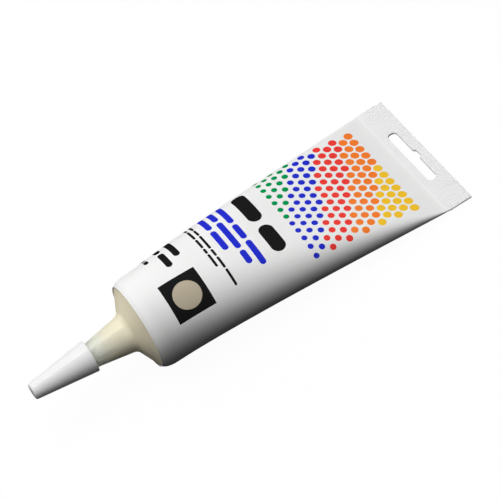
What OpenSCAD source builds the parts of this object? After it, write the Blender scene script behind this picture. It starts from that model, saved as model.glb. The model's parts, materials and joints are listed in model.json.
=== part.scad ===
// Squeeze tube of putty, lying on its underside, with its length along X and its label side up.
// A plastic sleeve runs from a round shoulder, towards -X, to a flat ribbed crimp with a hang slot.
// A moulded head with a tapered nozzle closes the round end, and a push-on cap covers the nozzle.
// The pieces are drawn along the tube's own axis, from the sleeve's front edge, and then laid down.

/* [Sleeve] */
// Outer diameter of the sleeve at its round end
sleeve_d = 41.3; // [32:0.1:56]
// Wall of the sleeve
sleeve_wall = 0.5; // [0.4:0.05:0.8]
// Length from the front edge to the start of the crimp
body_len = 130; // [90:1:200]
// Length of the rounded front edge, along the axis
edge_len = 6; // [2:0.1:10]
// Depth of the rounded front edge, towards the axis
edge_drop = 2.2; // [1:0.05:3]
// How late the sleeve flattens: 1 is a straight wedge, and more is fuller
fullness = 1.4; // [1.1:0.05:1.8]
// How much the film is drawn in at the round end, in radius
draw_in = 0.7; // [0:0.1:1.5]
// Roundness of the sides at the crimp: 0 is an ellipse's, and about 1 a half circle's
side_round = 1.35; // [0.8:0.05:1.5]
// Height of the space left inside where the two walls meet
seal_h = 0.8; // [0.5:0.1:2]

/* [Crimp] */
// Length of the flat crimp
crimp_len = 13; // [12:0.1:20]
// Extra width that pressing gives the ribbed end
crimp_spread = 0.6; // [0:0.1:2]
// Length of the ribs, from the tail end
rib_len = 11.6; // [10:0.1:11.8]
// Distance from one rib to the next
rib_pitch = 1.1; // [0.8:0.1:2]
// Height of the ribs, from valley to crest
rib_h = 0.2; // [0.1:0.05:0.4]

/* [Hang slot] */
// Length of the slot, across the crimp
slot_len = 32; // [20:0.5:40]
// Height of the slot, along the tube
slot_h = 4.4; // [3:0.1:5]
// Distance from the tail end to the middle of the slot
slot_in = 6.8; // [5:0.1:8]
// Width of the peg notch at the slot's edge
notch_w = 5.2; // [3:0.1:8]
// Width of the peg notch at its top
notch_top_w = 3; // [1:0.1:5]
// Depth of the peg notch, towards the tail end
notch_h = 1.1; // [0.5:0.1:1.4]

/* [Head] */
// Wall of the head
head_wall = 1.2; // [0.8:0.1:1.6]
// Length of the round skirt that the sleeve is welded to, behind the rounded edge
skirt_len = 2; // [1:0.5:10]
// Length of the sloping shoulder, along the axis
shoulder_len = 5; // [3:0.1:12]
// Diameter of the nozzle where it meets the shoulder
nozzle_root_d = 16.8; // [12:0.1:22]
// Diameter of the nozzle at its closed tip
nozzle_tip_d = 2.9; // [2.6:0.1:5]
// Length of the nozzle
nozzle_len = 41; // [30:0.5:60]
// Wall of the nozzle
nozzle_wall = 0.9; // [0.6:0.1:1.1]
// Radius of the fillet between shoulder and nozzle
root_fillet = 3.5; // [1:0.1:5]

/* [Cap] */
// Length of nozzle that the cap leaves bare
bare_len = 17.7; // [8:0.1:24]
// Wall of the cap
cap_wall = 1.5; // [0.8:0.1:1.8]
// Space inside the cap past the nozzle's tip
tip_room = 3; // [1:0.1:6]
// Space beside the nozzle at the cap's closed end
tip_side_room = 0.6; // [0.4:0.1:1.5]
// Radius of the edge round the cap's tip
tip_round = 0.7; // [0.3:0.1:1]

/* [Putty] */
// How far the putty stands up the nozzle
putty_rise = 11; // [4:0.5:14]

/* [Fits] */
// Gap between pieces that are welded or filled together
weld_gap = 0.1; // [0.08:0.01:0.2]
// Gap between the cap's mouth and the nozzle
cap_gap = 0.15; // [0.1:0.01:0.3]

/* [Hidden] */

// Round forms of the head and the cap
$fn = 96;
// Points round the sleeve, and sections along its outside, its inside and its front edge
section_sides = 64;
outer_steps = 24;
inner_steps = 16;
edge_steps = 5;
// Chords that measure a quarter of a section, and steps in which its half-width is narrowed down
length_steps = 48;
halvings = 24;
// How late the underside leaves the table, how soon the film has its full girth,
// and how evenly the sides get rounder
tail_curl = 4;
girth_curl = 5;
side_curl = 0.75;
// Points along a fillet or a rounded edge
arc_steps = 8;
// Overlap that joins two forms of one piece
lap = 1;

sleeve_r = sleeve_d / 2;
flat_half = sleeve_wall;
mouth_r = sleeve_r - edge_drop;
skirt_end = edge_len + skirt_len;
taper_len = body_len - skirt_end;
tail_x = body_len + crimp_len;
ribs_x = tail_x - rib_len;
crest_half = flat_half + rib_h / 2;

// The tube rests on its belly and its tail end
tilt = atan2(sleeve_r - crest_half, tail_x - skirt_end);
tail_lift = sleeve_r - flat_half - tan(tilt) * taper_len;

// Depth from the sleeve's outside to the pieces that it holds
held_skin = sleeve_wall + weld_gap;
skirt_r = sleeve_r - held_skin;
root_r = nozzle_root_d / 2;
nozzle_tip_r = nozzle_tip_d / 2;
nozzle_end = shoulder_len + nozzle_len;
nozzle_taper = (root_r - nozzle_tip_r) / nozzle_len;

cap_mouth = shoulder_len + bare_len;
cap_bore_r = root_r - nozzle_taper * bare_len + cap_gap;
cap_bore_end = nozzle_end + tip_room;
cap_tip_bore_r = nozzle_tip_r + tip_side_room;
cap_end = cap_bore_end + cap_wall;
cap_tip_r = cap_tip_bore_r + cap_wall;

// Ends of the part along X once it lies down, to centre it on the origin
low_end = (cap_end - tip_round) * cos(tilt) + (cap_tip_r - tip_round) * sin(tilt) + tip_round;
high_end = tail_x * cos(tilt) + crest_half * sin(tilt);

// Sections of the sleeve, by the share t of the way from the round end to the crimp

function station_x(t) = skirt_end + t * taper_len;
function height_at(t) = flat_half + (sleeve_r - flat_half) * (1 - pow(t, fullness));
function underside_at(t) =
    -sleeve_r + tan(tilt) * t * taper_len + tail_lift * pow(t, tail_curl);
function middle_at(t) = underside_at(t) + height_at(t);
function girth_at(t) = 2 * PI * (sleeve_r + draw_in * (1 - pow(1 - t, girth_curl)));

// A section's outline is |y / a| ^ (2 m) + |z / b| ^ 2 = 1, with the side power m from its flatness
function side_power(t, a, b) = 1 + side_round * pow(t, side_curl) * (a / b - 1);

// Point of an outline from its half-width a, half-height b and side power m
function outline_point(a, b, m, angle) =
    [a * signed_power(cos(angle), 1 / m), b * sin(angle)];

// Length of an outline, as four times the chords of a quarter
function outline_length(a, b, m) =
    let (
        points = [for (i = [0 : length_steps]) outline_point(a, b, m, 90 * i / length_steps)],
        chords = [for (i = [1 : length_steps]) norm(points[i] - points[i - 1])]
    )
    4 * chords * [for (c = chords) 1];

// Half-width that gives a section of half-height b the film's girth
function half_width(t, b, low, high, steps) =
    let (middle = (low + high) / 2)
    steps == 0 ? middle
    : outline_length(middle, b, side_power(t, middle, b)) > girth_at(t)
        ? half_width(t, b, low, middle, steps - 1)
        : half_width(t, b, middle, high, steps - 1);

function width_at(t) = half_width(t, height_at(t), sleeve_r / 2, 2 * sleeve_r, halvings);

// Share t at which the half-height inside a skin comes down to half of seal_h
function seal_at(skin) =
    pow(1 - (skin - flat_half + seal_h / 2) / (sleeve_r - flat_half), 1 / fullness);

function signed_power(v, e) = sign(v) * pow(abs(v), e);

// Ring of points along an outline, at x and with its middle at height z
function ring(x, a, b, z, m) = [
    for (i = [0 : section_sides - 1])
        let (p = outline_point(a, b, m, 360 * i / section_sides))
        [x, p[0], z + p[1]]
];

// Section at t, a skin's thickness inside the sleeve's outer surface
function section(t, skin) =
    let (a = width_at(t) - skin, b = height_at(t) - skin)
    ring(station_x(t), a, b, middle_at(t), side_power(t, a, b));

// Radius and distance in front of the front edge, at a step from the sleeve's side to its mouth
function edge_point(step, skin) =
    let (angle = 90 * step / edge_steps)
    [mouth_r + (edge_drop - skin) * cos(angle), (edge_len - skin) * sin(angle) - edge_len];

// Sections from one share of the taper to another
function sections(from, to, steps, skin) =
    [for (i = [0 : steps]) section(from + (to - from) * i / steps, skin)];

// Rounded front edge, from the sleeve's side in to the mouth
function edge_rings(skin) = [
    for (i = [0 : edge_steps])
        let (p = edge_point(i, skin))
        ring(-p[1], p[0], p[0], 0, 1)
];

function reversed(list) = [for (i = [len(list) - 1 : -1 : 0]) list[i]];

// Corner between two straight runs of a profile, replaced by an arc of radius r
function rounded_corner(before, corner, after, r) =
    let (
        u = (before - corner) / norm(before - corner),
        w = (after - corner) / norm(after - corner),
        half = acos(u * w) / 2,
        centre = corner + (u + w) / norm(u + w) * r / sin(half),
        first = corner + u * r / tan(half) - centre,
        last = corner + w * r / tan(half) - centre,
        start = atan2(first[1], first[0]),
        turn = atan2(last[1], last[0]) - start,
        sweep = turn > 180 ? turn - 360 : turn < -180 ? turn + 360 : turn
    )
    [for (i = [0 : arc_steps])
        let (angle = start + sweep * i / arc_steps)
        centre + r * [cos(angle), sin(angle)]];

// Crossing of two straight lines, each moved to its left by a distance
function moved_corner(before, corner, after, d_before, d_after) =
    let (
        u = (corner - before) / norm(corner - before),
        w = (after - corner) / norm(after - corner),
        p = corner + d_before * [-u[1], u[0]],
        q = corner + d_after * [-w[1], w[0]],
        s = cross(q - p, w) / cross(u, w)
    )
    p + s * u;

// Closed solid through a chain of rings, with a flat end at its first and its last ring
module skin_solid(rings) {
    n = section_sides;
    last = (len(rings) - 1) * n;
    sides = [
        for (k = [0 : len(rings) - 2])
            for (i = [0 : n - 1])
                let (a = k * n + i, b = k * n + (i + 1) % n)
                each [[a, b, b + n], [a, b + n, a + n]]
    ];
    first_end = [for (i = [n - 1 : -1 : 0]) i];
    last_end = [for (i = [0 : n - 1]) last + i];
    polyhedron([for (r = rings) each r], concat(sides, [first_end, last_end]), convexity = 6);
}

// Turns a profile of radius and distance in front of the front edge round the tube's axis
module turned(profile) {
    rotate([0, -90, 0])
        rotate_extrude()
            polygon(profile);
}

// Lays the tube down on its belly and its tail end, with the origin under its middle
module lying() {
    translate([(low_end - high_end) / 2, 0, skirt_end * sin(tilt) + sleeve_r * cos(tilt)])
        rotate([0, tilt, 0])
            children();
}

// Thin wall of the sleeve: its outside from the crimp forward, round the edge, and back inside
module sleeve_shell() {
    flat_a = width_at(1);
    flat_power = side_power(1, flat_a, flat_half);
    outside = concat(
        [ring(ribs_x + lap, flat_a - flat_half, flat_half / 2, 0, flat_power),
         ring(ribs_x, flat_a, flat_half, 0, flat_power)],
        reversed(sections(0, 1, outer_steps, 0)),
        edge_rings(0)
    );
    inside = concat(
        reversed(edge_rings(sleeve_wall)),
        sections(0, seal_at(sleeve_wall), inner_steps, sleeve_wall)
    );
    skin_solid(concat(outside, inside));
}

// Ribbed end of the crimp: both faces wave together, so it keeps its thickness
module ribbed_end() {
    half = width_at(1) + crimp_spread / 2;
    count = 2 * floor(half / rib_pitch);
    step = 2 * half / (2 * count);
    wave = [for (i = [0 : 2 * count]) [-half + i * step, rib_h / 2 * (i % 2 == 0 ? -1 : 1)]];
    top = [for (p = wave) p + [0, flat_half]];
    bottom = [for (p = reversed(wave)) p - [0, flat_half]];
    translate([ribs_x, 0, 0])
        rotate([90, 0, 90])
            linear_extrude(rib_len)
                polygon(concat(bottom, top));
}

// Hang slot with round ends, and a notch towards the tail end that centres a peg
module hang_slot() {
    straight = slot_len - slot_h;
    deep = 4 * crest_half;
    translate([tail_x - slot_in, 0, -deep / 2]) {
        translate([-slot_h / 2, -straight / 2, 0])
            cube([slot_h, straight, deep]);
        for (side = [-1, 1])
            translate([0, side * straight / 2, 0])
                cylinder(h = deep, d = slot_h);
        linear_extrude(deep)
            polygon([
                [0, -notch_w / 2], [slot_h / 2, -notch_w / 2], [slot_h / 2 + notch_h, -notch_top_w / 2],
                [slot_h / 2 + notch_h, notch_top_w / 2], [slot_h / 2, notch_w / 2], [0, notch_w / 2]
            ]);
    }
}

module tube_sleeve() {
    color([0.95, 0.95, 0.94])
        lying()
            difference() {
                union() {
                    sleeve_shell();
                    ribbed_end();
                }
                hang_slot();
            }
}

// Corners of the head's profile: skirt, shoulder edge, nozzle root and nozzle tip
skirt_back = [skirt_r, -skirt_end];
skirt_front = [skirt_r, -edge_len];
shoulder_edge = [mouth_r - weld_gap, 0];
nozzle_root = [root_r, shoulder_len];
nozzle_tip = [nozzle_tip_r, nozzle_end];

// Inside of the head, a wall away from the skirt, the shoulder and the nozzle
inner_back = skirt_back - [head_wall, 0];
inner_skirt = moved_corner(skirt_back, skirt_front, shoulder_edge, head_wall, head_wall);
inner_edge = moved_corner(skirt_front, shoulder_edge, nozzle_root, head_wall, head_wall);
inner_root = moved_corner(shoulder_edge, nozzle_root, nozzle_tip, head_wall, nozzle_wall);
inner_tip = [nozzle_tip_r - nozzle_wall, nozzle_end - head_wall];

module nozzle_head() {
    outside = concat(
        [skirt_back],
        [for (i = [0 : edge_steps - 1]) edge_point(i, held_skin)],
        [shoulder_edge - [0, held_skin], shoulder_edge],
        rounded_corner(shoulder_edge, nozzle_root, nozzle_tip, root_fillet),
        [nozzle_tip, [0, nozzle_end]]
    );
    inside = [[0, inner_tip[1]], inner_tip, inner_root, inner_edge, inner_skirt, inner_back];
    color([0.87, 0.84, 0.74])
        lying()
            turned(concat(outside, inside));
}

module putty_fill() {
    start = weld_gap / taper_len;
    gap = [weld_gap, weld_gap];
    back_corner = inner_back - [weld_gap, lap];
    front = shoulder_len + putty_rise;
    share = (front - inner_root[1]) / (inner_tip[1] - inner_root[1]);
    front_corner = inner_root + share * (inner_tip - inner_root) - [weld_gap, 0];
    color([0.76, 0.71, 0.61])
        lying() {
            skin_solid(reversed(sections(start, seal_at(held_skin), inner_steps, held_skin)));
            turned([
                [0, back_corner[1]], back_corner, inner_skirt - gap,
                inner_edge - gap, inner_root - gap, front_corner, [0, front]
            ]);
        }
}

module nozzle_cap() {
    mouth_outer = [cap_bore_r + cap_wall, cap_mouth];
    tip_corner = [cap_tip_r, cap_end];
    tip_centre = [0, cap_end];
    color([0.96, 0.96, 0.95])
        lying()
            turned(concat(
                [[cap_bore_r, cap_mouth], mouth_outer],
                rounded_corner(mouth_outer, tip_corner, tip_centre, tip_round),
                [tip_centre, [0, cap_bore_end], [cap_tip_bore_r, cap_bore_end]]
            ));
}

tube_sleeve();
nozzle_head();
putty_fill();
nozzle_cap();
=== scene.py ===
# %% [markdown]
# # A squeeze tube of putty
# The object is a soft plastic tube that lies on its underside. A white printed sleeve, round at
# one end and pressed flat at the other, is welded to a cream head with a long tapered nozzle, and
# a white cap is pushed over the nozzle. The solids of the part come ready made as a fixed frame.
# This lesson dresses them: it makes each surface again as a fine mesh, prints the label, and sets
# up the light and the camera.

# %% Load the frame
import json
import math

import bmesh
import bpy
import numpy as np
from mathutils import Matrix, Vector


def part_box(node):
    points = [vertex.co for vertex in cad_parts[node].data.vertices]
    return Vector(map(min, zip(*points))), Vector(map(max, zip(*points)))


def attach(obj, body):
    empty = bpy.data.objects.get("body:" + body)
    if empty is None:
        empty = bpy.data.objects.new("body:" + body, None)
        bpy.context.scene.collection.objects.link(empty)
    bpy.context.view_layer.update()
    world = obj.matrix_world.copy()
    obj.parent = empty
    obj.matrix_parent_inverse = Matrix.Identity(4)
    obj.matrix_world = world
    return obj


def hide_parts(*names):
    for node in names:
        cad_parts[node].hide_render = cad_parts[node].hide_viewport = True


MM = 0.001

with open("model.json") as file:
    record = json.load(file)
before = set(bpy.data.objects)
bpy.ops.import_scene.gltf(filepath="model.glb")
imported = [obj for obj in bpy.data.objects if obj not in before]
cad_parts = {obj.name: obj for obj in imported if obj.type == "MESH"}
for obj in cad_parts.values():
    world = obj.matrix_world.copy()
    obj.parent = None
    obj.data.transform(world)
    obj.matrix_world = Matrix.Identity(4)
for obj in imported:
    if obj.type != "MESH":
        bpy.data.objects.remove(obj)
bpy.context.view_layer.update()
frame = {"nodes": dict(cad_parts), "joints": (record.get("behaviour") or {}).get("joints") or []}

# %% [markdown]
# ## The tube's own axis
# The tube rests on its belly and its tail end, so its axis slopes down towards the tail. Drawing
# straight into the sloping frame would put a sine and a cosine into every formula. Instead each
# piece is drawn along the tube's own axis, in millimetres: x runs back from the sleeve's front
# edge, y across, and z out of the label. One function then lays the points down. The slope is
# read from the joint along which the cap pulls off, and the place from the box of the sleeve's
# solid.

# %% The tube's own axis
sleeve_r = 20.65
skirt_end = 8.0  # the sleeve is round up to here, where the head's skirt ends
tail_x = 143.0
crest_half = 0.6  # half the thickness of the solid's crimp, over its ribs

pull_x, _, pull_z = frame["joints"][0]["axis"]
tilt = math.atan2(pull_z, -pull_x)
turn = np.array(Matrix.Rotation(tilt, 3, "Y"))
tail_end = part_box("tube_sleeve")[1].x / MM
front_edge = np.array([
    tail_end - tail_x * math.cos(tilt) - crest_half * math.sin(tilt),
    0.0,
    skirt_end * math.sin(tilt) + sleeve_r * math.cos(tilt),
])


def laid_down(points):
    """Points along the tube's axis, in millimetres, become points of the frame, in metres:
    turned by the tilt about Y, then moved so that x = 0 is the sleeve's front edge."""
    return (points @ turn.T + front_edge) * MM


print("tilt in degrees:", round(math.degrees(tilt), 2), "front edge in mm:", front_edge.round(2))

# %% [markdown]
# ## From arrays to meshes
# Every surface below is a grid of points, worked out as whole arrays. A grid of rows and columns
# becomes a mesh when the four corners of each cell are listed, which is a matter of shifting one
# array of numbers. Where a grid comes back to its own start, or two grids share an edge, the same
# point is there twice, so the doubles are merged, and the closed skin's faces are turned outwards.

# %% From arrays to meshes
MERGE_MM = 0.002
SHARP_ANGLE = math.radians(40)
LABEL_UNIT_MM = 100.0  # one unit of the label's UV map


def grid_cells(rows, columns, first=0):
    """Corner numbers of each cell of a grid whose points are numbered row by row."""
    number = first + np.arange(rows * columns).reshape(rows, columns)
    corners = [number[:-1, :-1], number[:-1, 1:], number[1:, 1:], number[1:, :-1]]
    return np.stack(corners, axis=-1)


def looped(rows_of_points):
    """The same grid with its first row repeated at its end, so that its last cells close it."""
    return np.concatenate([rows_of_points, rows_of_points[:1]])


def closed_piece(name, points, cells, label_mm=None):
    """Mesh object from an array of points and an array of four-cornered cells. label_mm, if given,
    holds each point's place on the flat label, and becomes a UV map."""
    mesh = bpy.data.meshes.new(name)
    mesh.from_pydata(laid_down(points).tolist(), [], cells.tolist())
    if label_mm is not None:
        layer = mesh.uv_layers.new(name="label")
        places = label_mm[cells.ravel()] / LABEL_UNIT_MM
        layer.data.foreach_set("uv", places.astype(np.float32).ravel())
    skin = bmesh.new()
    skin.from_mesh(mesh)
    bmesh.ops.remove_doubles(skin, verts=skin.verts, dist=MERGE_MM * MM)
    bmesh.ops.recalc_face_normals(skin, faces=skin.faces)
    open_edges = sum(not edge.is_manifold for edge in skin.edges)
    skin.to_mesh(mesh)
    skin.free()
    mesh.shade_smooth()
    mesh.set_sharp_from_angle(angle=SHARP_ANGLE)
    piece = bpy.data.objects.new(name, mesh)
    bpy.context.scene.collection.objects.link(piece)
    print(name, len(mesh.polygons), "faces,", open_edges, "open edges")
    return piece


print("cells of a grid of 3 by 4 points:", grid_cells(3, 4).shape[:2])

# %% [markdown]
# ## How the sleeve changes from round to flat
# A tube's sleeve starts as a plain pipe. Pressing its end flat bends the film but hardly stretches
# it, so the distance round it stays the same: as the height goes down, the width has to grow. Film
# also resists a sharp crease, so a flat section keeps round sides where an ellipse would have
# pointed ones. The height is a simple falling curve, the width follows from the film's girth,
# which is drawn in a little at the round end, and the middle of each section is its underside plus
# its half-height. t is the share of the way from the round end to the crimp.

# %% How the sleeve changes from round to flat
wall = 0.5
body_len = 130.0  # from the front edge to the crimp
taper_len = body_len - skirt_end
fullness = 1.4  # power of the falling height
draw_in = 0.7  # how far the round end is drawn in
girth_curl = 5  # how soon the film comes back from that
side_round = 1.35  # how much rounder the sides are than an ellipse's
side_curl = 0.75
tail_curl = 4  # how late the underside bends up to the crimp
tail_lift = sleeve_r - wall - math.tan(tilt) * taper_len
quarter = np.linspace(0, math.pi / 2, 97)
HALVINGS = 30


def half_height(t):
    """Falls from the radius to one wall, slowly at first."""
    return wall + (sleeve_r - wall) * (1 - t ** fullness)


def girth(t):
    """Distance round the film: the round end's circle, plus what soon comes back of the draw-in."""
    return 2 * math.pi * (sleeve_r + draw_in * (1 - (1 - t) ** girth_curl))


def side_power(t, a, b):
    """Power m of the outline |y/a|^2m + |z/b|^2 = 1: 1 for an ellipse, and more the flatter the
    section is."""
    return 1 + side_round * t ** side_curl * (a / b - 1)


def outline_length(a, b, power):
    """Length of each outline: four times the chords along a quarter of it, from top to side."""
    y = a[:, None] * np.sin(quarter) ** (1 / power[:, None])
    z = b[:, None] * np.cos(quarter)
    return 4 * np.hypot(np.diff(y), np.diff(z)).sum(axis=1)


def half_width(t):
    """The half-width at which the outline is as long as the film, found by halving an interval."""
    b = half_height(t)
    low, high = np.full_like(t, sleeve_r / 2), np.full_like(t, 2 * sleeve_r)
    for _ in range(HALVINGS):
        guess = (low + high) / 2
        long = outline_length(guess, b, side_power(t, guess, b)) > girth(t)
        low, high = np.where(long, low, guess), np.where(long, guess, high)
    return (low + high) / 2


def middle_height(t):
    """The underside plus the half-height. The underside lies on the table and bends up to the
    crimp."""
    underside = -sleeve_r + math.tan(tilt) * taper_len * t + tail_lift * t ** tail_curl
    return underside + half_height(t)


flat_half = half_width(np.array([1.0]))[0]
print("half-width in mm where the crimp starts:", flat_half.round(2))

# %% [markdown]
# ## Columns that suit both ends
# The grid's columns run the whole length of the sleeve. At the round end they should be evenly
# spaced in angle. In the crimp they should be close together and even, because each fine rib needs
# several, and two of them should fall exactly on the ends of the hang slot. A column is therefore
# given by the share of the half-width at which it lies, once for each end, and slides from one to
# the other along the tube.

# %% Columns that suit both ends
slot_len = 32.0
crimp_spread = 0.3
crimp_half = flat_half + crimp_spread
OUTER_COLUMNS = 104
SLOT_COLUMNS = 184
EVEN_PART = 0.6  # the rest of the spacing over the slot crowds towards its ends
LATE_SLIDE = 8

slot_share = slot_len / 2 / crimp_half
beside_slot = np.linspace(1, slot_share, OUTER_COLUMNS + 1)[:-1]
along_slot = np.linspace(0, 1, SLOT_COLUMNS + 1)
crowded = np.cos(math.pi * along_slot)
over_slot = slot_share * (EVEN_PART * (1 - 2 * along_slot) + (1 - EVEN_PART) * crowded)
flat_share = np.concatenate([beside_slot, over_slot, -beside_slot[::-1]])
COLUMNS = len(flat_share)
round_share = np.cos(math.pi * np.linspace(0, 1, COLUMNS))
print("columns:", COLUMNS)


def column_share(t):
    """Each column's share of the half-width, between -1 and 1, in one row for each t."""
    slid = (t ** LATE_SLIDE)[:, None]
    return (1 - slid) * round_share + slid * flat_share


def section_rows(x, t, side, skin=0.0, share=None):
    """Rows of points on one side of the sleeve, 1 above and -1 below: from a column's share of the
    half-width, its height is b times the root of 1 - share^2m. skin is the distance inside the
    outer surface."""
    share = column_share(t) if share is None else share
    a, b = half_width(t) - skin, half_height(t) - skin
    power = side_power(t, a, b)[:, None]
    rise = np.sqrt(np.maximum(1 - np.abs(share) ** (2 * power), 0))
    y = a[:, None] * share
    z = middle_height(t)[:, None] + side * b[:, None] * rise
    return np.stack([np.broadcast_to(x[:, None], y.shape), y, z], axis=-1)


# %% [markdown]
# ## The rounded front edge
# At the front the sleeve is rolled in over the head's shoulder, in a small quarter of an ellipse.
# Its rows are circles that get smaller towards the mouth, both outside and, one wall further in,
# inside. The cut end of the film stands up in a narrow lip, which shows as a thin pale line.

# %% The rounded front edge
edge_len = 6.0
edge_drop = 2.2
mouth_r = sleeve_r - edge_drop
lip_x = np.array([0.12, -0.3])
lip_r = mouth_r + np.array([0.0, 0.45])
lip_root = 0.6
EDGE_ROWS = 15


def circles(x, radius, side):
    """One half circle for each x and radius, above or below, on the columns of the round end."""
    rise = side * np.sqrt(np.maximum(1 - round_share ** 2, 0))
    x, radius = x[:, None], radius[:, None]
    return np.stack([x + 0 * round_share, radius * round_share, radius * rise], axis=-1)


def edge_rows(side, skin):
    """Circles round the rolled edge, from the mouth out to the full radius, a skin's thickness
    inside. On the outer surface they start with the lip."""
    first = math.pi / 2 if skin else math.acos(lip_root / edge_drop)
    angle = np.linspace(first, 0, EDGE_ROWS)
    radius = mouth_r + (edge_drop - skin) * np.cos(angle)
    rolled = circles(edge_len - (edge_len - skin) * np.sin(angle), radius, side)
    return rolled if skin else np.concatenate([circles(lip_x, lip_r, side), rolled])


print("mouth radius in mm:", round(mouth_r, 2), "rows round the edge:", len(edge_rows(1, 0.0)))

# %% [markdown]
# ## The ribbed crimp and its slot
# The heated jaws that close the tube leave fine ribs along the axis and spread the film a little,
# and a punched slot lets the tube hang from a peg. A hole in a grid is usually made with a
# Boolean, which leaves ragged faces that shade badly. Here the grid parts like an eyelid: one
# strip of rows ends at the slot's front edge, another starts at its back edge, and beside the slot
# the two meet on its centre line. Both edges are functions of y alone.

# %% The ribbed crimp and its slot
crimp_y = crimp_half * flat_share
slot_to_tail = 6.8
slot_x = tail_x - slot_to_tail
slot_r = 2.2
notch_wide, notch_narrow, notch_depth = 2.6, 1.5, 1.1
punch_bevel = 0.12
HAIR = 1e-6

past_round = np.abs(crimp_y) - (slot_len / 2 - slot_r)
slot_reach = np.sqrt(np.maximum(slot_r ** 2 - np.maximum(past_round, 0) ** 2, 0))
slot_reach[np.abs(crimp_y) > slot_len / 2 - HAIR] = 0
notch_share = (notch_wide - np.abs(crimp_y)) / (notch_wide - notch_narrow)
notch = notch_depth * np.clip(notch_share, 0, 1)
slot_front = slot_x - slot_reach
slot_back = slot_x + slot_reach + notch
bevel = np.minimum(punch_bevel, slot_reach / 2)
is_slot = (slot_reach[:-1] + slot_reach[1:]) > 0
print("slot in mm:", slot_len, "by", 2 * slot_r, "with", int(is_slot.sum()), "columns across it")

# %% [markdown]
# ## Rows of the crimp
# The ribs of the two faces run side by side, like a corrugated sheet, because the jaws mesh. They
# are a cosine across the crimp, which fades out where the jaws start and close to the sides.

# %% Rows of the crimp
ribs_len = 11.6
ribs_x = tail_x - ribs_len
rib_h = 0.09
rib_count = 60
rib_fade = 0.6
SIDE_FADE = 40
off_sides = 1 - flat_share ** SIDE_FADE


def crimp_rows(x, side, sunk=0.0):
    """Rows of the flat crimp at the given x, one value for each row and column. The ribs are a
    cosine of y that lifts both faces together and fades out at the front and at the sides, and
    with them the crimp comes to its full width. sunk moves the face in."""
    share = np.repeat(flat_share[None, :], len(x), 0)
    rows = section_rows(np.zeros(len(x)), np.ones(len(x)), side, share=share)
    wave = rib_h / 2 * np.cos(math.pi * (rib_count + 1) * flat_share) * off_sides
    pressed = np.clip((x - ribs_x) / rib_fade, 0, 1)
    rows[..., 0] = x
    rows[..., 1] *= 1 + (crimp_half / flat_half - 1) * pressed
    rows[..., 2] += wave * pressed - side * sunk
    return rows


def between(start, end, shares):
    """Rows of x from start to end, at the given shares of the way."""
    return start + (end - start) * shares[:, None]


print("ribs:", rib_count, "about", round(2 * crimp_half / rib_count, 2), "mm apart")

# %% [markdown]
# ## The sleeve's rows
# The sleeve is drawn as rows from front to back: its outside from the mouth to the slot, its
# inside from the mouth to the seal, and the tail strip from the slot to the end. Each is made once
# for the upper and once for the lower half.

# %% The sleeve's rows
BODY_ROWS = 44
INSIDE_ROWS = 12
FADE_ROWS = 5
STRIP_SHARES = np.linspace(0, 1, 5)
seal_half = 0.4  # half the height that is left inside where the seal starts
seal_t = (1 - seal_half / (sleeve_r - wall)) ** (1 / fullness)


def outside_rows(side):
    """The sleeve's outside from the mouth to the front edge of the slot."""
    t = np.linspace(0, 1, BODY_ROWS)
    body = section_rows(skirt_end + taper_len * t, t, side)
    full_ribs_x = ribs_x + rib_fade
    to_ribs = between(body_len, full_ribs_x, np.linspace(0, 1, FADE_ROWS + 1)[1:]) + 0 * crimp_y
    to_slot = between(full_ribs_x, slot_front - bevel, STRIP_SHARES[1:])
    return np.concatenate([
        edge_rows(side, 0.0), body, crimp_rows(to_ribs, side), crimp_rows(to_slot, side),
        crimp_rows(slot_front[None, :], side, sunk=bevel),
    ])


def inside_rows(side):
    """The sleeve's inside from the seal forward to the mouth."""
    t = np.linspace(seal_t, 0, INSIDE_ROWS)
    body = section_rows(skirt_end + taper_len * t, t, side, skin=wall)
    return np.concatenate([body, edge_rows(side, wall)[::-1]])


def tail_rows(side):
    """The strip behind the slot, from the slot's back edge to the tail end."""
    strip = between(slot_back + bevel, tail_x - punch_bevel, STRIP_SHARES)
    end = np.full((1, COLUMNS), tail_x)
    return np.concatenate([
        crimp_rows(slot_back[None, :], side, sunk=bevel), crimp_rows(strip, side),
        crimp_rows(end, side, sunk=punch_bevel * off_sides),
    ])


above, below = outside_rows(1), outside_rows(-1)
tail_above, tail_below = tail_rows(1), tail_rows(-1)
print("rows outside:", len(above), "in the tail strip:", len(tail_above))

# %% [markdown]
# ## The sleeve in one closed skin
# One sheet starts inside at the seal, comes forward, rolls round the front edge, runs back outside
# to the slot, goes down through it, and returns the same way underneath. The tail strip behind the
# slot is a loop of its own. Cells that would wall off the meeting line beside the slot are left
# out. The label's flat coordinates are the distance round the section from its top and the
# distance from the front edge. Only the upper outside is printed, so all other points get a place
# far off the label.

# %% The sleeve in one closed skin
OFF_LABEL = -900.0


def label_place(rows):
    """Distance round the section from its middle column, towards -y, and distance from the front
    edge."""
    steps = np.linalg.norm(np.diff(rows[..., 1:], axis=1), axis=-1)
    around = np.concatenate([np.zeros((len(rows), 1)), np.cumsum(steps, axis=1)], axis=1)
    around -= around[:, COLUMNS // 2][:, None]
    return np.stack([around, rows[..., 0]], axis=-1)


sheet = looped(np.concatenate([inside_rows(1), above, below[::-1], inside_rows(-1)[::-1]]))
first_above = len(inside_rows(1))
after_above = first_above + len(above)
sheet_label = np.full(sheet.shape[:2] + (2,), OFF_LABEL)
sheet_label[first_above:after_above] = label_place(above)

tail = looped(np.concatenate([tail_above, tail_below[::-1]]))
tail_label = np.full(tail.shape[:2] + (2,), OFF_LABEL)
tail_label[:len(tail_above)] = label_place(tail_above)

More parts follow.
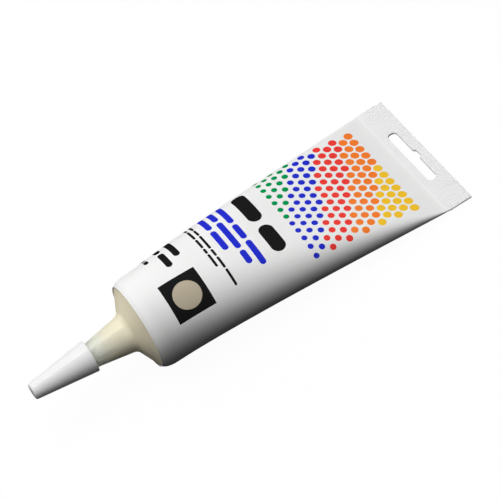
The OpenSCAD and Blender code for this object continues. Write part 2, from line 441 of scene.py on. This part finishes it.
sheet_cells = grid_cells(len(sheet), COLUMNS)
tail_cells = grid_cells(len(tail), COLUMNS, first=sheet[..., 0].size)
keep_sheet = np.ones(sheet_cells.shape[:2], bool)
keep_sheet[after_above - 1] = is_slot
keep_tail = np.ones(tail_cells.shape[:2], bool)
keep_tail[-1] = is_slot

sleeve = closed_piece(
    "printed_sleeve",
    np.concatenate([sheet.reshape(-1, 3), tail.reshape(-1, 3)]),
    np.concatenate([sheet_cells[keep_sheet], tail_cells[keep_tail]]),
    np.concatenate([sheet_label.reshape(-1, 2), tail_label.reshape(-1, 2)]),
)

# %% [markdown]
# ## Turned pieces
# The head and the cap are round, so each is a profile carried round the axis: a list of radii and
# of distances in front of the sleeve's edge. Only the corners are given. A corner with a radius is
# replaced by an arc that touches both of its lines.

# %% Turned pieces
SIDES = 144
ARC_POINTS = 12


def arc(start, end, centre):
    """Points on the circle round the centre from start to end: the two spokes, mixed by sines of
    the angle."""
    first, last = start - centre, end - centre
    angle = math.acos(first @ last / (first @ first))
    q = np.linspace(0, 1, ARC_POINTS)[:, None]
    return centre + (np.sin((1 - q) * angle) * first + np.sin(q * angle) * last) / math.sin(angle)


def rounded(corners):
    """Profile through a closed list of (radius, distance, corner radius, points on the run after
    it). An arc touches both lines at its radius over the tangent of half their angle, and its
    centre lies between them."""
    points = np.array([corner[:2] for corner in corners])
    back, on = np.roll(points, 1, 0) - points, np.roll(points, -1, 0) - points
    back, on = (line / np.linalg.norm(line, axis=1)[:, None] for line in (back, on))
    angle = np.arccos((back * on).sum(1))[:, None]
    radius = np.array([corner[2:3] for corner in corners])
    start, end = (points + line * radius / np.tan(angle / 2) for line in (back, on))
    centre = points + (back + on) * radius / np.sin(angle)
    profile = []
    for i, corner in enumerate(corners):
        next_start = start[(i + 1) % len(corners)]
        profile.append(arc(start[i], end[i], centre[i]) if corner[2] > 0 else points[i:i + 1])
        profile.append(np.linspace(end[i], next_start, corner[3] + 2)[1:-1])
    return np.concatenate(profile)


def turned_piece(name, profile):
    """The closed profile carried round the axis: a torus of rows. Points on the axis merge."""
    angle = np.linspace(0, 2 * math.pi, SIDES + 1)
    ring = looped(profile)
    radius, ahead = ring[:, 0][:, None], ring[:, 1][:, None]
    y, z = radius * np.cos(angle), radius * np.sin(angle)
    points = np.stack([-ahead + 0 * angle, y, z], axis=-1)
    off_axis = ring[:-1, 0] + ring[1:, 0] > 0
    cells = grid_cells(len(ring), SIDES + 1)[off_axis]
    return closed_piece(name, points.reshape(-1, 3), cells.reshape(-1, 4))


print("turned pieces have", SIDES, "sides and", ARC_POINTS, "points on a rounded corner")

# %% [markdown]
# ## The head
# The head is one moulding: a skirt inside the sleeve, a sloping shoulder, and a tapered nozzle
# that is closed at its tip until it is cut. A fillet runs round the nozzle's root. The profile
# goes forward on the outside and comes back along the hollow that holds the putty.

# %% The head
shoulder_len = 5.0
nozzle_len = 41.0
nozzle_end = shoulder_len + nozzle_len
root_r, nozzle_tip_r = 8.4, 1.45
root_fillet, tip_round = 3.5, 0.4
held_skin = 0.6
skirt_r = sleeve_r - held_skin
seam_gap = 0.1
shoulder_r = mouth_r - seam_gap
tip_wall = 1.2
tip_side_wall = 0.9
hollow_end = nozzle_end - tip_wall
hollow_root = (7.05, 4.07)
hollow_shoulder = (17.41, -1.05)
hollow_skirt = (18.85, -6.16)

turn_in = np.linspace(0, math.pi / 2, EDGE_ROWS)[:-1]
under_edge = zip(
    mouth_r + (edge_drop - held_skin) * np.cos(turn_in),
    (edge_len - held_skin) * np.sin(turn_in) - edge_len,
)
head = turned_piece("cream_head", rounded([
    (skirt_r, -skirt_end, 0, 2),
    *((radius, ahead, 0, 0) for radius, ahead in under_edge),
    (shoulder_r, -held_skin, 0, 1),
    (shoulder_r, 0.0, 0, 10),
    (root_r, shoulder_len, root_fillet, 40),
    (nozzle_tip_r, nozzle_end, tip_round, 2),
    (0.0, nozzle_end, 0, 0),
    (0.0, hollow_end, 0, 0),
    (nozzle_tip_r - tip_side_wall, hollow_end, 0, 10),
    (*hollow_root, 0, 6),
    (*hollow_shoulder, 0, 2),
    (*hollow_skirt, 0, 1),
    (hollow_skirt[0], -skirt_end, 0, 1),
]))

# %% [markdown]
# ## The cap
# The cap is a plain hollow cone that grips the nozzle at its mouth. Its mouth has a narrow flat
# rim with edges that are only just broken, and its closed end is flat with a rounded edge.

# %% The cap
bare_nozzle = 17.7
cap_mouth = shoulder_len + bare_nozzle
cap_wall = 1.5
cap_bore_r = 5.55
cap_tip_r = 3.55
tip_room = 3.0
cap_end = nozzle_end + tip_room + cap_wall
rim_break, end_round, bore_round = 0.15, 1.0, 0.3

cap = turned_piece("tapered_cap", rounded([
    (cap_bore_r, cap_mouth, rim_break, 1),
    (cap_bore_r + cap_wall, cap_mouth, rim_break, 30),
    (cap_tip_r, cap_end, end_round, 2),
    (0.0, cap_end, 0, 0),
    (0.0, cap_end - cap_wall, 0, 1),
    (cap_tip_r - cap_wall, cap_end - cap_wall, bore_round, 12),
]))

# %% [markdown]
# ## Riding on the frame
# The sleeve and the head stay with the tube, and the cap slides off with its own body. Each new
# piece stands for a solid of the frame. The putty's solid has the right shape already, so it stays
# and only gets a finish.

# %% Riding on the frame
putty = frame["nodes"]["putty_fill"]
for piece, body, node, finish in [
    (sleeve, "tube", "tube_sleeve", "white_sleeve"),
    (head, "tube", "nozzle_head", "cream_head"),
    (cap, "cap", "nozzle_cap", "white_cap"),
]:
    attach(piece, body)
    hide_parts(node)

# %% [markdown]
# ## Short words for nodes
# A finish is a small graph of nodes. Written out in full, a graph hides its idea behind the
# wiring, so four short helpers do it: one fills a socket with a number or with a link, one adds a
# node, one adds a step of arithmetic, and one lays a colour over another.

# %% Short words for nodes
MIX_A, MIX_B, MIX_RESULT = 6, 7, 2  # the colour sockets of a Mix node


def fill(socket, value):
    """Links another node's output to the socket, or sets the socket's own value."""
    if isinstance(value, bpy.types.NodeSocket):
        socket.id_data.links.new(value, socket)
    else:
        socket.default_value = value


def add(tree, kind, inputs, output=0, **settings):
    """Adds a node with these settings and inputs, and returns one of its outputs."""
    node = tree.nodes.new(kind)
    for name, value in settings.items():
        setattr(node, name, value)
    for name, value in inputs.items():
        fill(node.inputs[name], value)
    return node.outputs[output]


def calc(tree, operation, *values):
    """Adds one step of arithmetic and returns its result."""
    return add(tree, "ShaderNodeMath", dict(enumerate(values)), operation=operation)


def paint(tree, under, colour, mask):
    """The colour where the mask is 1, over what is under it."""
    inputs = {0: mask, MIX_A: under, MIX_B: colour}
    return add(tree, "ShaderNodeMix", inputs, output=MIX_RESULT, data_type="RGBA")


print("node helpers:", [helper.__name__ for helper in (fill, add, calc, paint)])

# %% [markdown]
# ## A finish for a piece
# Each piece has one material. What is the same all over goes straight on the shader's sockets.
# Moulded and drawn plastic is never quite even, so every finish can have a ripple: a noise that
# bends the reflections a little and leaves the outline alone.

# %% A finish for a piece


def finish_for(piece, name, **sockets):
    """Gives the piece a material of its own, with these sockets of its shader set, and returns its
    tree and shader."""
    material = bpy.data.materials.new(name)
    material.use_nodes = True
    piece.data.materials.clear()
    piece.data.materials.append(material)
    shader = material.node_tree.nodes["Principled BSDF"]
    for socket, value in sockets.items():
        fill(shader.inputs[socket.replace("_", " ")], value)
    print(name, "on", piece.name)
    return material.node_tree, shader


def ripple(tree, scale, depth_mm):
    """Surface unevenness: a noise of so many waves to the metre, as a bump of that depth."""
    place = add(tree, "ShaderNodeTexCoord", {}, output="Object")
    height = add(tree, "ShaderNodeTexNoise", {"Vector": place, "Scale": scale, "Detail": 2.0})
    inputs = {"Strength": 1.0, "Distance": depth_mm * MM, "Height": height}
    return add(tree, "ShaderNodeBump", inputs)


# %% [markdown]
# ## The label's shapes
# The sleeve is printed before it is filled, in flat inks with crisp edges. An image would go soft
# up close, so each shape is arithmetic on the label's own coordinates: a box is two comparisons, a
# disc is a distance, and a bar with round ends is the distance to a line.

# %% The label's shapes


def box(tree, place, left, right, front, back):
    """1 inside a rectangle of the label, in millimetres, and 0 outside."""
    across = calc(tree, "COMPARE", place[0], (left + right) / 2, (right - left) / 2)
    along = calc(tree, "COMPARE", place[1], (front + back) / 2, (back - front) / 2)
    return calc(tree, "MULTIPLY", across, along)


def distance(tree, across, along):
    """Length of the line to a point that lies so far across and along."""
    squares = calc(tree, "MULTIPLY", across, across), calc(tree, "MULTIPLY", along, along)
    return calc(tree, "SQRT", calc(tree, "ADD", *squares))


def disc(tree, place, across, along, radius):
    """1 inside a circle."""
    offsets = calc(tree, "SUBTRACT", place[0], across), calc(tree, "SUBTRACT", place[1], along)
    return calc(tree, "LESS_THAN", distance(tree, *offsets), radius)


def pill(tree, place, left, right, front, back):
    """1 inside a bar with round ends: closer than its half-height to the line along its middle."""
    radius = (back - front) / 2
    offset = calc(tree, "ABSOLUTE", calc(tree, "SUBTRACT", place[0], (left + right) / 2))
    past = calc(tree, "SUBTRACT", offset, (right - left) / 2 - radius)
    past = calc(tree, "MAXIMUM", past, 0.0)
    along = calc(tree, "SUBTRACT", place[1], (front + back) / 2)
    return calc(tree, "LESS_THAN", distance(tree, past, along), radius)


def bar_row(tree, place, left, front, height, lengths):
    """1 inside bars one after another from the left, with gaps of half their height."""
    mask = 0.0
    for length in lengths:
        bar = pill(tree, place, left, left + length, front, front + height)
        mask = calc(tree, "MAXIMUM", mask, bar)
        left += length + height / 2
    return mask


print("label shapes:", [shape.__name__ for shape in (box, disc, pill, bar_row)])

# %% [markdown]
# ## A field of coloured discs
# The main motif is a field of discs in staggered rows, in five inks that change along slanting
# bands. Every disc is one colour, so the bands are worked out from the disc's centre and not from
# the point itself.

# %% A field of coloured discs
YELLOW = (0.93, 0.57, 0.03, 1)
ORANGE = (0.95, 0.22, 0.03, 1)
RED = (0.87, 0.05, 0.04, 1)
BLUE = (0.02, 0.03, 0.62, 1)
GREEN = (0.0, 0.31, 0.08, 1)
BAND_INKS = (GREEN, BLUE, RED, ORANGE, YELLOW)
disc_pitch = 4.5
row_pitch = 3.9
small_disc, large_disc = 1.2, 1.95
field_front, field_back = 72.0, 122.7
field_half = 25.0
band_slant = 0.55
band_margin = 8.0


def disc_cell(tree, place):
    """The point's offset from the middle of its own cell, and that middle's place on the label.
    Odd rows are shifted by half a pitch."""
    row = calc(tree, "DIVIDE", calc(tree, "SUBTRACT", place[1], field_front), row_pitch)
    shift = calc(tree, "FRACT", calc(tree, "MULTIPLY", calc(tree, "FLOOR", row), 0.5))
    column = calc(tree, "ADD", calc(tree, "DIVIDE", place[0], disc_pitch), shift)
    offset = []
    for number, pitch in ((column, disc_pitch), (row, row_pitch)):
        from_middle = calc(tree, "SUBTRACT", calc(tree, "FRACT", number), 0.5)
        offset.append(calc(tree, "MULTIPLY", from_middle, pitch))
    centre = [calc(tree, "SUBTRACT", place[axis], offset[axis]) for axis in (0, 1)]
    return offset, centre


def band_ink(tree, share):
    """The ink at that share of the way through the bands, which all have the same width."""
    ramp = tree.nodes.new("ShaderNodeValToRGB")
    bands = ramp.color_ramp
    bands.interpolation = "CONSTANT"
    while len(bands.elements) < len(BAND_INKS):
        bands.elements.new(0.5)
    for number, ink in enumerate(BAND_INKS):
        bands.elements[number].position = number / len(BAND_INKS)
        bands.elements[number].color = ink
    fill(ramp.inputs[0], share)
    return ramp.outputs[0]


def disc_field(tree, place):
    """Mask and colour of the field. A disc's radius grows towards the tail, and its band follows
    from its centre's distance along plus a share of its distance across."""
    offset, centre = disc_cell(tree, place)
    radius = add(tree, "ShaderNodeMapRange", {
        "Value": centre[1], "From Min": field_front, "From Max": field_back,
        "To Min": small_disc, "To Max": large_disc,
    })
    in_disc = calc(tree, "LESS_THAN", distance(tree, *offset), radius)
    in_field = box(tree, centre, -field_half, field_half, field_front, field_back)
    slanted = calc(tree, "ADD", centre[1], calc(tree, "MULTIPLY", centre[0], band_slant))
    share = add(tree, "ShaderNodeMapRange", {
        "Value": slanted,
        "From Min": field_front - band_margin, "From Max": field_back + band_margin,
    })
    return calc(tree, "MULTIPLY", in_disc, in_field), band_ink(tree, share)


print("rows of discs:", round((field_back - field_front) / row_pitch))

# %% [markdown]
# ## The printed sleeve's finish
# The film is white polyethylene with a dull, slightly uneven skin. Where the jaws pressed it the
# film is thinner and a little greyer. Below the discs come two heavy bars, rows of finer bars, and
# a black panel with a swatch in the putty's own colour.

# %% The printed sleeve's finish
WHITE = (0.86, 0.86, 0.855, 1)
PRESSED = (0.83, 0.83, 0.83, 1)
BLACK = (0.012, 0.012, 0.013, 1)
PUTTY = (0.50, 0.44, 0.33, 1)
bars_left = -22.0
bar_rows = [  # ink, front edge, height, and each bar's length
    (BLACK, 60.0, 6.4, (20, 15)),
    (BLUE, 52.6, 2.7, (15, 9, 13)),
    (BLUE, 48.0, 2.7, (10, 17, 7)),
    (BLUE, 43.4, 2.7, (13, 12)),
    (BLACK, 39.0, 1.1, (7, 5, 9, 4, 6, 8)),
    (BLACK, 36.6, 1.1, (5, 8, 6, 3, 7)),
    (BLACK, 25.8, 2.9, (17,)),
    (BLACK, 20.4, 2.9, (8, 11)),
    (BLACK, 14.4, 2.0, (6, 4)),
]
panel_left, panel_right, panel_front, panel_back = 4.0, 22.0, 12.0, 29.0
swatch_r = 6.0
past_side, past_tail = 40.0, tail_x + 1

tree, shader = finish_for(sleeve, "printed_film", Roughness=0.32, Specular_IOR_Level=0.0)
split = tree.nodes.new("ShaderNodeSeparateXYZ")
fill(split.inputs[0], add(tree, "ShaderNodeUVMap", {}, uv_map="label"))
place = [calc(tree, "MULTIPLY", split.outputs[axis], LABEL_UNIT_MM) for axis in (0, 1)]

crimp_mask = box(tree, place, -past_side, past_side, ribs_x, past_tail)
field_mask, field_ink = disc_field(tree, place)
prints = [(PRESSED, crimp_mask), (field_ink, field_mask)]
prints += [(ink, bar_row(tree, place, bars_left, *bars)) for ink, *bars in bar_rows]
panel_middle = (panel_left + panel_right) / 2, (panel_front + panel_back) / 2
prints += [
    (BLACK, box(tree, place, panel_left, panel_right, panel_front, panel_back)),
    (PUTTY, disc(tree, place, *panel_middle, swatch_r)),
]
film = WHITE
for ink, mask in prints:
    film = paint(tree, film, ink, mask)
fill(shader.inputs["Base Color"], film)
fill(shader.inputs["Normal"], ripple(tree, scale=260.0, depth_mm=0.02))
print("label nodes:", len(tree.nodes))

# %% [markdown]
# ## The head's finish
# The head is natural plastic that light goes a little way into. Putty stands behind it up to some
# way along the nozzle, so the shoulder looks cream and the nozzle's root beige. Past the putty the
# nozzle is paler, a touch green, and light goes deeper into it. The head mirrors the lamps by the
# same small share from every side, which a little metal in the shader gives, with the usual gloss
# that brightens towards the edges turned off.

# %% The head's finish
CREAM = (0.86, 0.79, 0.59, 1)
BEIGE = (0.75, 0.705, 0.545, 1)
PALE = (0.68, 0.69, 0.6, 1)
root_start, root_stop = shoulder_len - 2, shoulder_len + 3
putty_reach = 11.0
putty_front = shoulder_len + putty_reach
putty_blur = 5.0
shallow, deep = 0.1, 0.9

tree, shader = finish_for(
    head, "cream_plastic", Roughness=0.05, Specular_IOR_Level=0.0, Metallic=0.035,
    Subsurface_Scale=0.012, Subsurface_Radius=(1.0, 0.9, 0.8),
)
shader.subsurface_method = "BURLEY"
axis_place = add(tree, "ShaderNodeMapping", {
    "Vector": add(tree, "ShaderNodeTexCoord", {}, output="Object"),
    "Location": tuple(front_edge * MM), "Rotation": (0, tilt, 0),
}, vector_type="TEXTURE")
along_axis = tree.nodes.new("ShaderNodeSeparateXYZ")
fill(along_axis.inputs[0], axis_place)
ahead = calc(tree, "MULTIPLY", along_axis.outputs[0], -1 / MM)


def eased(tree, value, start, stop):
    """0 before the start, 1 after the stop, and a smooth step between them."""
    inputs = {"Value": value, "From Min": start, "From Max": stop}
    return add(tree, "ShaderNodeMapRange", inputs, interpolation_type="SMOOTHSTEP")


past_root = eased(tree, ahead, root_start, root_stop)
past_putty = eased(tree, ahead, putty_front - putty_blur, putty_front + putty_blur)
tint = paint(tree, paint(tree, CREAM, BEIGE, past_root), PALE, past_putty)
fill(shader.inputs["Base Color"], tint)
depth = add(tree, "ShaderNodeMapRange", {"Value": past_putty, "To Min": shallow, "To Max": deep})
fill(shader.inputs["Subsurface Weight"], depth)
fill(shader.inputs["Normal"], ripple(tree, scale=180.0, depth_mm=0.01))

# %% [markdown]
# ## The cap's and the putty's finish
# The cap is plain white plastic with the same even, weak mirror as the head. The putty is a dull
# paste, made a little uneven by a fine noise between two tones.

# %% The cap's and the putty's finish
CAP_WHITE = (0.83, 0.83, 0.83, 1)
PUTTY_LIGHT = (0.56, 0.50, 0.39, 1)
speckle_scale = 900.0

tree, shader = finish_for(
    cap, "white_plastic", Base_Color=CAP_WHITE, Roughness=0.1, Specular_IOR_Level=0.0,
    Metallic=0.02,
)
fill(shader.inputs["Normal"], ripple(tree, scale=200.0, depth_mm=0.01))

tree, shader = finish_for(putty, "putty_paste", Roughness=0.55)
place = add(tree, "ShaderNodeTexCoord", {}, output="Object")
speckle = add(tree, "ShaderNodeTexNoise", {"Vector": place, "Scale": speckle_scale})
fill(shader.inputs["Base Color"], paint(tree, PUTTY, PUTTY_LIGHT, speckle))

# %% [markdown]
# ## The floor
# The photograph shows the tube on plain white. The floor looks white to the camera and in
# reflections, with a weak shadow, but throws little light back up, so the lower sides fall dark.
# A Light Path node tells the two kinds of rays apart.

# %% The floor
floor_size = 12.0
shadow_share = 0.035
BOUNCE = (0.04, 0.04, 0.04, 1)
PAPER = (0.92, 0.92, 0.92, 1)
PURE_WHITE = (1, 1, 1, 1)

floor_mesh = bpy.data.meshes.new("floor")
corner = floor_size / 2
corners = [(-corner, -corner, 0), (corner, -corner, 0), (corner, corner, 0), (-corner, corner, 0)]
floor_mesh.from_pydata(corners, [], [(0, 1, 2, 3)])
floor = bpy.data.objects.new("floor", floor_mesh)
bpy.context.scene.collection.objects.link(floor)


def seen_directly(tree):
    """1 for rays from the camera, in reflections and through clear things, and 0 for rays that
    light."""
    rays = tree.nodes.new("ShaderNodeLightPath").outputs
    sharp = calc(tree, "MAXIMUM", rays["Is Glossy Ray"], rays["Is Transmission Ray"])
    return calc(tree, "MAXIMUM", rays["Is Camera Ray"], sharp)


floor_material = bpy.data.materials.new("white_floor")
floor_material.use_nodes = True
floor_mesh.materials.append(floor_material)
tree = floor_material.node_tree
tree.nodes.remove(tree.nodes["Principled BSDF"])
bounce = add(tree, "ShaderNodeBsdfDiffuse", {"Color": BOUNCE})
paper = add(tree, "ShaderNodeBsdfDiffuse", {"Color": PAPER})
glow = add(tree, "ShaderNodeEmission", {"Color": PURE_WHITE, "Strength": 1.0})
white = add(tree, "ShaderNodeMixShader", {0: shadow_share, 1: glow, 2: paper})
surface = add(tree, "ShaderNodeMixShader", {0: seen_directly(tree), 1: bounce, 2: white})
fill(tree.nodes["Material Output"].inputs["Surface"], surface)
print("floor in metres:", floor_size)

# %% [markdown]
# ## The backdrop
# Behind the floor's far edge lies the world. It is white where it is seen, as the floor is, and
# lights the tube only a little from all around.

# %% The backdrop
ambient = 0.03

world = bpy.data.worlds.new("studio")
bpy.context.scene.world = world
world.use_nodes = True
tree = world.node_tree
strength = add(tree, "ShaderNodeMapRange", {
    "Value": seen_directly(tree), "To Min": ambient, "To Max": 1.0,
})
backdrop = tree.nodes["Background"]
fill(backdrop.inputs["Color"], PURE_WHITE)
fill(backdrop.inputs["Strength"], strength)
print("light from all around:", ambient)

# %% [markdown]
# ## The light
# The shading in the photograph says where the lamps were. The white sleeve is evenly bright on
# top, a little less so towards the tail, and falls off towards the viewer, so the main light is a
# broad one overhead, with a second one above the head. The nozzle and the cap mirror only a panel
# behind them, with a thin bright line along its upper edge, so the two broad lamps are kept out of
# reflections.

# %% The light
behind_x = -0.085


def softbox(name, direction, away, size, radiance, mirrored=True):
    """A rectangular lamp, so far away in a direction, that faces the tube. A flat lamp of one
    radiance gives pi times its area times that radiance in watts. One that isn't mirrored stays
    out of reflections."""
    lamp = bpy.data.lights.new(name, "AREA")
    lamp.shape = "RECTANGLE"
    lamp.size, lamp.size_y = size
    lamp.energy = math.pi * size[0] * size[1] * radiance
    holder = bpy.data.objects.new(name, lamp)
    towards = Vector(direction).normalized()
    holder.location = towards * away
    holder.visible_glossy = mirrored
    holder.rotation_euler = towards.to_track_quat("Z", "Y").to_euler()
    bpy.context.scene.collection.objects.link(holder)
    print(name, "lamp:", round(lamp.energy, 2), "W")


def behind(elevation):
    """Direction at that height above the table, behind the nozzle as the camera sees it."""
    angle = math.radians(elevation)
    return (behind_x, math.cos(angle), math.sin(angle))


softbox("ceiling", (0, 0, 1), away=1.2, size=(0.9, 0.9), radiance=4.3, mirrored=False)
softbox("over_head", (-0.6, 0.4, 1), away=1.2, size=(0.9, 0.9), radiance=1.0, mirrored=False)
softbox("panel", behind(48), away=0.9, size=(0.22, 0.98), radiance=2.3)
softbox("line", behind(77), away=0.88, size=(0.22, 0.08), radiance=14.0)

# %% [markdown]
# ## The camera
# The camera stands in front of the tube and looks down at it through a long lens, rolled so that
# the nozzle points to the lower left.

# %% The camera
camera_aim = Vector((0.01033, 0.0017, 0.01525))
camera_away = 0.9438
camera_azimuth = -8.61
camera_elevation = 53.7
camera_roll = -29.84
sensor_mm = 36.0
lens_mm = 165.3

azimuth, elevation = math.radians(camera_azimuth), math.radians(camera_elevation)
level = math.cos(elevation)
back = Vector((math.sin(azimuth) * level, -math.cos(azimuth) * level, math.sin(elevation)))
lens = bpy.data.cameras.new("camera")
lens.sensor_width = sensor_mm
lens.lens = lens_mm
camera = bpy.data.objects.new("camera", lens)
upright = (-back).to_track_quat("-Z", "Y").to_matrix()
rolled = upright @ Matrix.Rotation(math.radians(camera_roll), 3, "Z")
camera.matrix_world = Matrix.Translation(camera_aim + back * camera_away) @ rolled.to_4x4()
bpy.context.scene.collection.objects.link(camera)
bpy.context.scene.camera = camera
bpy.context.scene.view_settings.view_transform = "Standard"
print("camera at", [round(value, 4) for value in camera.matrix_world.translation])
